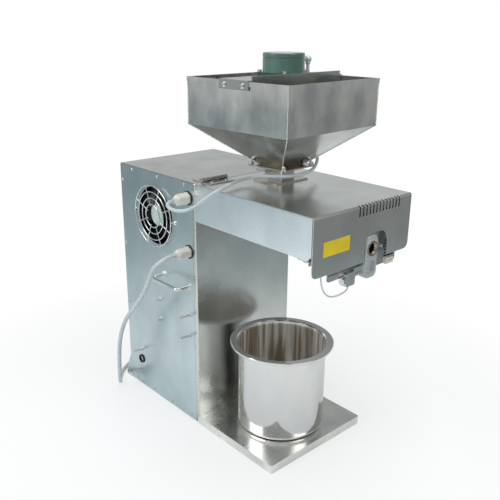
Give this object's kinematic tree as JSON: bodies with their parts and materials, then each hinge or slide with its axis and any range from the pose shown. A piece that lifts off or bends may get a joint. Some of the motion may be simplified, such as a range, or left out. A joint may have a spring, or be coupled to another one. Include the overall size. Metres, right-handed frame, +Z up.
{
  "type": "screw oil press",
  "caption": "Household screw press for seed oil with a tall drive case, hinged cover, square hopper with feed motor, ported cage, nozzle, and oil pot on a base tray.",
  "frame": {"origin": "centre of the resting face under the base tray, midway between its back and front ends and midway between its sides", "axes": "+X along the arm to the cake outlet at the front, +Y to the side away from the fan and the glands, +Z up"},
  "size_m": [0.5935, 0.2927, 0.588],
  "materials": {
    "brushed_steel": "brushed stainless sheet",
    "polished_steel": "polished stainless sheet",
    "tool_steel": "machined steel",
    "bronze": "machined bronze",
    "cast_aluminium": "as-cast light grey",
    "zinc_fastener": "bright zinc plated",
    "chrome": "bright chrome",
    "motor_green": "dark green gloss paint",
    "motor_grey": "grey satin paint",
    "black_plastic": "black moulded plastic",
    "cream_nylon": "cream moulded nylon",
    "grey_cord": "grey flexible sheath",
    "white_cord": "white thin sheath",
    "plug_black": "black moulded plug"
  },
  "bodies": {
    "housing": {"base_plate": "brushed_steel", "rear_corner_brackets": "brushed_steel", "case_shell": "brushed_steel", "fan_side_panel": "brushed_steel", "far_side_panel": "brushed_steel", "panel_screws": "zinc_fastener", "fan_frame": "black_plastic", "fan_guard": "chrome", "side_handle": "chrome", "mount_studs": "zinc_fastener", "control_box": "black_plastic", "mains_gland": "cream_nylon", "lead_gland": "cream_nylon", "gearbox": "cast_aluminium", "drive_motor": "motor_grey", "feed_block": "tool_steel", "feed_block_bolts": "zinc_fastener", "press_cage": "tool_steel", "heater_band": "tool_steel", "cake_nozzle": "bronze", "arm_side_near": "brushed_steel", "arm_side_far": "brushed_steel", "arm_front_plate": "brushed_steel", "front_casting": "cast_aluminium", "front_plate_bolts": "zinc_fastener", "sensor_bar": "zinc_fastener", "sensor_block": "zinc_fastener", "cover_switch": "cream_nylon", "sensor_socket": "cream_nylon", "front_lip_clip": "brushed_steel", "oil_tray": "polished_steel", "hinge_case_leaves": "zinc_fastener", "hinge_pins": "zinc_fastener", "hopper_lead": "grey_cord", "mains_cord": "grey_cord", "mains_coil": "grey_cord", "mains_plug": "plug_black", "sensor_lead": "white_cord"},
    "cover": {"cover": "brushed_steel", "hinge_cover_leaves": "zinc_fastener", "hopper_seat": "polished_steel", "hopper_neck": "polished_steel", "hopper_flange": "polished_steel", "flange_bolts": "zinc_fastener", "hopper_funnel": "polished_steel", "hopper_bin": "polished_steel", "motor_bracket": "brushed_steel", "bracket_bolts": "zinc_fastener", "feed_motor_flange": "motor_green", "feed_motor": "motor_green", "feed_motor_bolts": "zinc_fastener", "feed_motor_elbow": "cream_nylon"},
    "agitator": {"agitator": "polished_steel"},
    "press_screw": {"press_screw": "tool_steel"},
    "motor_rotor": {"motor_rotor": "tool_steel"},
    "fan_impeller": {"fan_impeller": "black_plastic"},
    "ring_nut": {"slotted_ring_nut": "tool_steel"},
    "pot": {"oil_pot": "polished_steel"}
  },
  "joints": [
    {"name": "cover_hinge", "type": "hinge", "parent": "housing", "child": "cover", "pos_m": [0.024, 0, 0.4082], "axis": [0, -1, 0], "range_deg": [0, 55], "deforming": ["hopper_lead"]},
    {"name": "agitator_spin", "type": "hinge", "parent": "cover", "child": "agitator", "pos_m": [0.0835, 0.0165, 0.5], "axis": [0, 0, 1], "continuous": true},
    {"name": "press_screw_spin", "type": "hinge", "parent": "housing", "child": "press_screw", "pos_m": [0.1, 0.016, 0.342], "axis": [1, 0, 0], "continuous": true},
    {"name": "motor_rotor_spin", "type": "hinge", "parent": "housing", "child": "motor_rotor", "pos_m": [-0.15, 0.016, 0.342], "axis": [1, 0, 0], "continuous": true},
    {"name": "fan_spin", "type": "hinge", "parent": "housing", "child": "fan_impeller", "pos_m": [-0.082, -0.09, 0.334], "axis": [0, 1, 0], "continuous": true},
    {"name": "ring_nut_turn", "type": "hinge", "parent": "housing", "child": "ring_nut", "pos_m": [0.22, 0.016, 0.342], "axis": [1, 0, 0], "continuous": true},
    {"name": "pot_slide", "type": "slide", "parent": "housing", "child": "pot", "axis": [1, 0, 0], "range_m": [0, 0.08]}
  ],
  "couplings": [
    {"joint": "motor_rotor_spin", "follows": "press_screw_spin", "ratio": 25}
  ]
}
